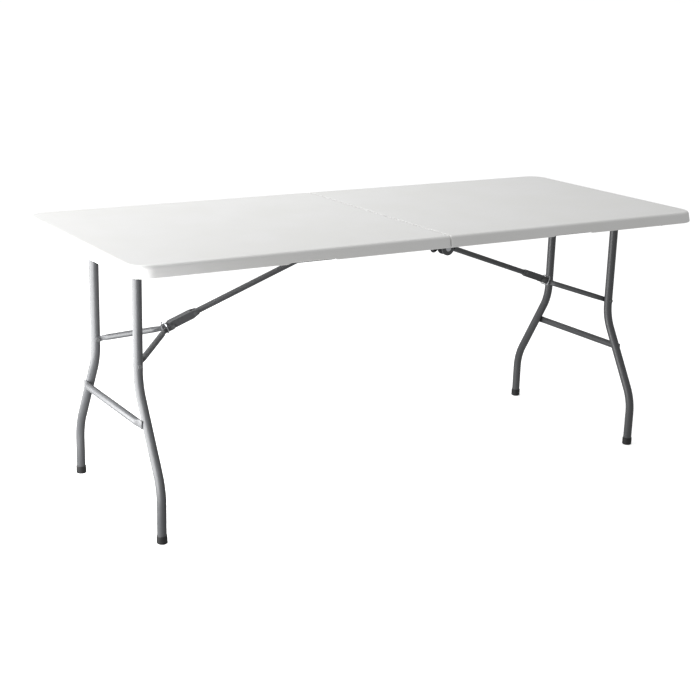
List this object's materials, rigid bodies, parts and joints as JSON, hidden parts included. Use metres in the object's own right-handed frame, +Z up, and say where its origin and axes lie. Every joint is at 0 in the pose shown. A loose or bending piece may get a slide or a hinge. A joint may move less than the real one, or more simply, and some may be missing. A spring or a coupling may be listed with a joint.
{
  "type": "folding picnic table",
  "caption": "Rectangular white folding picnic table with a moulded two-part top, centre hinge, wishbone steel leg frames and ring-locked toggle braces.",
  "frame": {"origin": "on the floor under the centre of the open table", "axes": "+X along the table's length, +Y across it to the back, +Z up"},
  "size_m": [1.8, 0.75, 0.74],
  "materials": {
    "top_panel": "blow-moulded HDPE with a fine pebble grain",
    "steel": "satin dark grey powder coat on steel tube and sheet",
    "zinc": "bright zinc plate",
    "rivet": "grey painted rivet heads, rubbed bright on the crown",
    "nylon": "black nylon",
    "foot": "moulded black PE cap"
  },
  "bodies": {
    "left_half": {"left_panel": "top_panel", "left_rail_front": "steel", "left_rail_back": "steel", "left_rail_screws": "zinc", "left_cross_tube": "steel", "left_pivot_bushes": "nylon", "hinge_pin_front": "zinc", "hinge_pin_back": "zinc"},
    "right_half": {"right_panel": "top_panel", "right_rail_front": "steel", "right_rail_back": "steel", "right_rail_screws": "zinc", "right_cross_tube": "steel", "right_pivot_bushes": "nylon"},
    "left_leg_frame": {"left_pivot_tube": "steel", "left_leg_front": "steel", "left_leg_back": "steel", "left_crossbar": "steel", "left_foot_front": "foot", "left_foot_back": "foot", "left_arm_rivets": "rivet"},
    "left_brace": {"left_brace_knuckle": "steel", "left_brace_tube": "steel", "left_brace_bracket": "steel", "left_bracket_rivet": "rivet"},
    "left_fork": {"left_arm_front": "steel", "left_arm_back": "steel", "left_toggle_rivets": "rivet"},
    "left_ring": {"left_lock_ring": "zinc"},
    "right_leg_frame": {"right_pivot_tube": "steel", "right_leg_front": "steel", "right_leg_back": "steel", "right_crossbar": "steel", "right_foot_front": "foot", "right_foot_back": "foot", "right_arm_rivets": "rivet"},
    "right_brace": {"right_brace_knuckle": "steel", "right_brace_tube": "steel", "right_brace_bracket": "steel", "right_bracket_rivet": "rivet"},
    "right_fork": {"right_arm_front": "steel", "right_arm_back": "steel", "right_toggle_rivets": "rivet"},
    "right_ring": {"right_lock_ring": "zinc"}
  },
  "joints": [
    {"name": "centre_fold", "type": "hinge", "parent": "left_half", "child": "right_half", "pos_m": [0, 0, 0.705], "axis": [0, 1, 0], "range_deg": [0, 90]},
    {"name": "left_leg_fold", "type": "hinge", "parent": "left_half", "child": "left_leg_frame", "pos_m": [-0.787, 0, 0.711], "axis": [0, -1, 0], "range_deg": [0, 88]},
    {"name": "left_brace_swing", "type": "hinge", "parent": "left_half", "child": "left_brace", "pos_m": [-0.03, 0, 0.703], "axis": [0, 1, 0], "range_deg": [0, 19.85]},
    {"name": "left_fork_swing", "type": "hinge", "parent": "left_leg_frame", "child": "left_fork", "pos_m": [-0.787, 0, 0.43], "axis": [0, -1, 0], "range_deg": [0, 74.7]},
    {"name": "left_ring_slide", "type": "slide", "parent": "left_brace", "child": "left_ring", "axis": [0.9407, 0, 0.3392], "range_m": [0, 0.066]},
    {"name": "right_leg_fold", "type": "hinge", "parent": "right_half", "child": "right_leg_frame", "pos_m": [0.787, 0, 0.711], "axis": [0, 1, 0], "range_deg": [0, 88]},
    {"name": "right_brace_swing", "type": "hinge", "parent": "right_half", "child": "right_brace", "pos_m": [0.03, 0, 0.703], "axis": [0, -1, 0], "range_deg": [0, 19.85]},
    {"name": "right_fork_swing", "type": "hinge", "parent": "right_leg_frame", "child": "right_fork", "pos_m": [0.787, 0, 0.43], "axis": [0, 1, 0], "range_deg": [0, 74.7]},
    {"name": "right_ring_slide", "type": "slide", "parent": "right_brace", "child": "right_ring", "axis": [-0.9407, 0, 0.3392], "range_m": [0, 0.066]}
  ],
  "couplings": [
    {"joint": "left_brace_swing", "follows": "left_leg_fold", "ratio": 0.22535},
    {"joint": "left_fork_swing", "follows": "left_leg_fold", "ratio": 0.8486},
    {"joint": "right_brace_swing", "follows": "right_leg_fold", "ratio": 0.22535},
    {"joint": "right_fork_swing", "follows": "right_leg_fold", "ratio": 0.8486}
  ]
}
